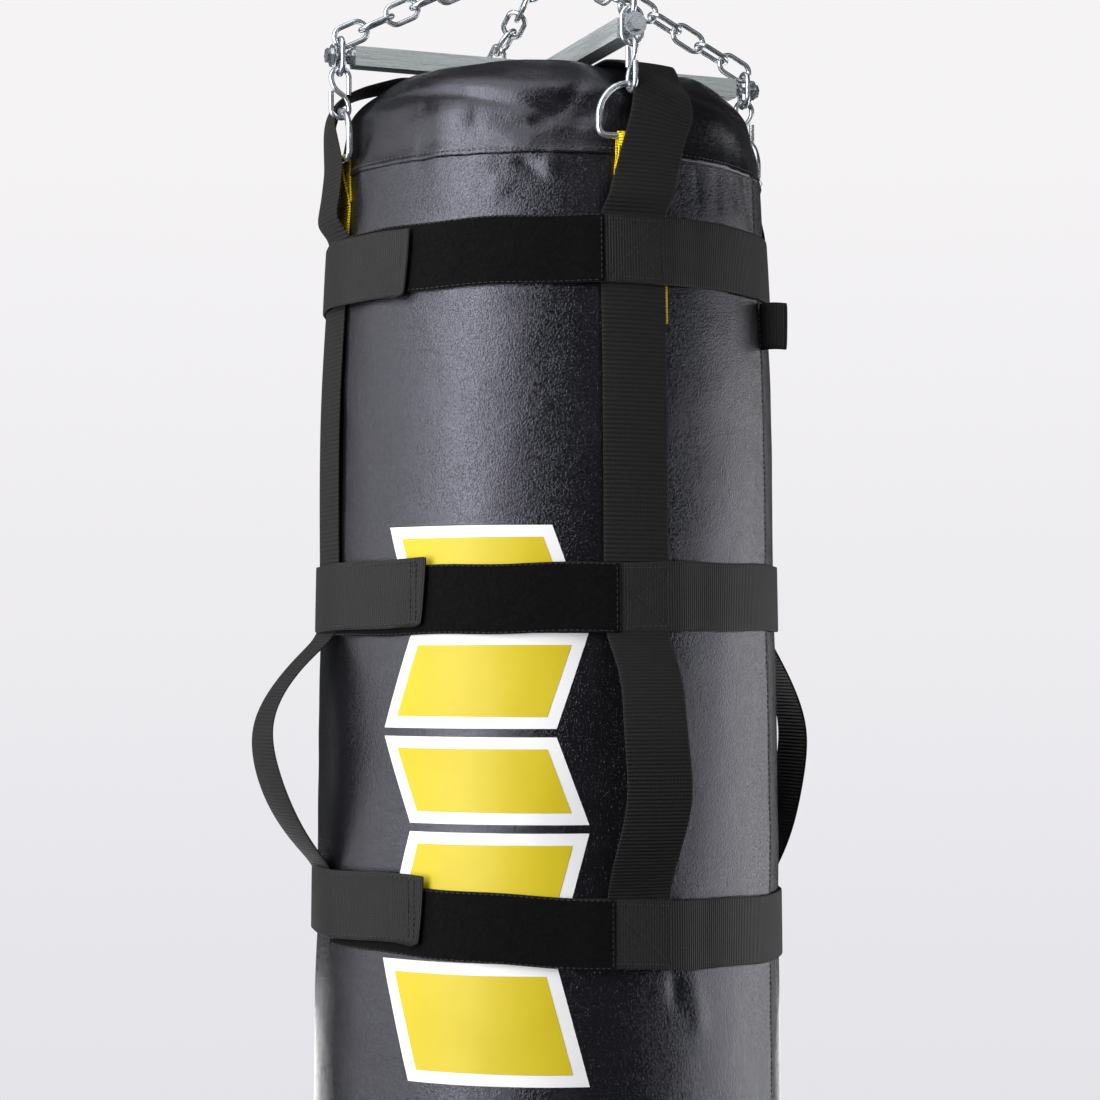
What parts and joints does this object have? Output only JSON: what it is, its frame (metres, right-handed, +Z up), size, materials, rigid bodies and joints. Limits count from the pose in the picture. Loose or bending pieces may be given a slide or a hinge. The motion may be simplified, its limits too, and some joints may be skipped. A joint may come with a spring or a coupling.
{
  "type": "hanging heavy bag",
  "caption": "Cylindrical leather heavy bag with a webbing handle harness, hung by chains and a cross-shaped spreader from a swivel eye.",
  "frame": {"origin": "centre of the bore in the swivel's upper eye, from which the whole object hangs", "axes": "+Z up along the bag; +Y along the eye's bore, towards the back; the harness strap with the front handle is at -Y and the peeling flaps are on the left, -X"},
  "size_m": [0.4436, 0.4376, 1.4492],
  "materials": {
    "zinc_steel": "bright zinc plated",
    "galvanised_tube": "galvanised, drawn",
    "cast_swivel": "zinc plated, satin",
    "bearing_steel": "ground",
    "black_leather": "semi-gloss, grained",
    "black_webbing": "ribbed weave",
    "yellow_webbing": "ribbed weave",
    "loop_pile": "fuzzy pile",
    "hook_tape": "fine hooks",
    "foam": "open foam",
    "filling": "shredded textile"
  },
  "bodies": {
    "swivel_housing": {"swivel_upper_eye": "cast_swivel", "swivel_barrel": "cast_swivel", "bearing_lower_race": "bearing_steel", "bearing_balls": "bearing_steel"},
    "swivel_spindle": {"swivel_stem": "cast_swivel", "stem_nut": "bearing_steel", "bearing_upper_race": "bearing_steel"},
    "quick_link": {"quick_link_body": "zinc_steel"},
    "quick_link_sleeve": {"quick_link_nut": "zinc_steel"},
    "spreader": {"chain_ring": "zinc_steel", "chain_front": "zinc_steel", "chain_right": "zinc_steel", "chain_back": "zinc_steel", "chain_left": "zinc_steel", "spreader_long_tube": "galvanised_tube", "spreader_half_tubes": "galvanised_tube", "weld_beads": "zinc_steel", "tube_end_plugs": "galvanised_tube", "inner_washers": "zinc_steel", "lock_nuts": "zinc_steel", "outer_washers": "zinc_steel", "arm_bolts": "zinc_steel"},
    "bag": {"top_cap": "black_leather", "cap_stuffing": "filling", "cover_shell": "black_leather", "foam_liner": "foam", "fill_core": "filling", "bottom_panel": "black_leather", "side_tab": "black_webbing", "crown_strap_front_back": "black_webbing", "crown_strap_left_right": "black_webbing", "dee_rings": "zinc_steel", "yellow_straps": "yellow_webbing", "harness_strap_front": "black_webbing", "harness_strap_right": "black_webbing", "harness_strap_back": "black_webbing", "harness_strap_left": "black_webbing", "handle_front": "black_webbing", "handle_right": "black_webbing", "handle_back": "black_webbing", "handle_left": "black_webbing", "ring_strap_upper": "black_webbing", "ring_strap_middle": "black_webbing", "ring_strap_lower": "black_webbing", "loop_pad_upper": "loop_pile", "loop_pad_middle": "loop_pile", "loop_pad_lower": "loop_pile"},
    "hanger_front": {"s_hook_front": "zinc_steel"},
    "hanger_right": {"s_hook_right": "zinc_steel"},
    "hanger_back": {"s_hook_back": "zinc_steel"},
    "hanger_left": {"s_hook_left": "zinc_steel"},
    "upper_flap": {"flap_upper": "black_webbing", "hook_tape_upper": "hook_tape"},
    "middle_flap": {"flap_middle": "black_webbing", "hook_tape_middle": "hook_tape"},
    "lower_flap": {"flap_lower": "black_webbing", "hook_tape_lower": "hook_tape"}
  },
  "joints": [
    {"name": "swivel_spin", "type": "hinge", "parent": "swivel_housing", "child": "swivel_spindle", "pos_m": [0, 0, -0.04], "axis": [0, 0, 1], "continuous": true},
    {"name": "swing_front_back", "type": "hinge", "parent": "swivel_spindle", "child": "quick_link", "pos_m": [0, 0, -0.072], "axis": [1, 0, 0], "range_deg": [-35, 35]},
    {"name": "quick_link_nut_travel", "type": "slide", "parent": "quick_link", "child": "quick_link_sleeve", "axis": [0, 0, 1], "range_m": [0, 0.0105]},
    {"name": "swing_side", "type": "hinge", "parent": "quick_link", "child": "spreader", "pos_m": [0, 0, -0.10975], "axis": [0, 1, 0], "range_deg": [-35, 35]},
    {"name": "bag_sway", "type": "slide", "parent": "spreader", "child": "bag", "axis": [1, 0, 0], "range_m": [-0.0035, 0.0035], "stiffness_N_per_m": 15000},
    {"name": "hanger_front_lean", "type": "hinge", "parent": "spreader", "child": "hanger_front", "pos_m": [0, -0.1694, -0.2285], "axis": [0, 1, 0], "range_deg": [-7, 7]},
    {"name": "hanger_right_lean", "type": "hinge", "parent": "spreader", "child": "hanger_right", "pos_m": [0.1694, 0, -0.2285], "axis": [0, 1, 0], "range_deg": [-7, 7]},
    {"name": "hanger_back_lean", "type": "hinge", "parent": "spreader", "child": "hanger_back", "pos_m": [0, 0.1694, -0.2285], "axis": [0, 1, 0], "range_deg": [-7, 7]},
    {"name": "hanger_left_lean", "type": "hinge", "parent": "spreader", "child": "hanger_left", "pos_m": [-0.1694, 0, -0.2285], "axis": [0, 1, 0], "range_deg": [-7, 7]},
    {"name": "upper_flap_peel", "type": "hinge", "parent": "bag", "child": "upper_flap", "pos_m": [-0.17737, -0.02335, -0.3785], "axis": [0, 0, -1], "range_deg": [0, 110]},
    {"name": "middle_flap_peel", "type": "hinge", "parent": "bag", "child": "middle_flap", "pos_m": [-0.18316, -0.02411, -0.629], "axis": [0, 0, -1], "range_deg": [0, 110]},
    {"name": "lower_flap_peel", "type": "hinge", "parent": "bag", "child": "lower_flap", "pos_m": [-0.18563, -0.02444, -0.869], "axis": [0, 0, -1], "range_deg": [0, 110]}
  ],
  "couplings": [
    {"joint": "hanger_front_lean", "follows": "bag_sway", "rad_per_m": -34.602},
    {"joint": "hanger_right_lean", "follows": "bag_sway", "rad_per_m": -34.602},
    {"joint": "hanger_back_lean", "follows": "bag_sway", "rad_per_m": -34.602},
    {"joint": "hanger_left_lean", "follows": "bag_sway", "rad_per_m": -34.602}
  ]
}
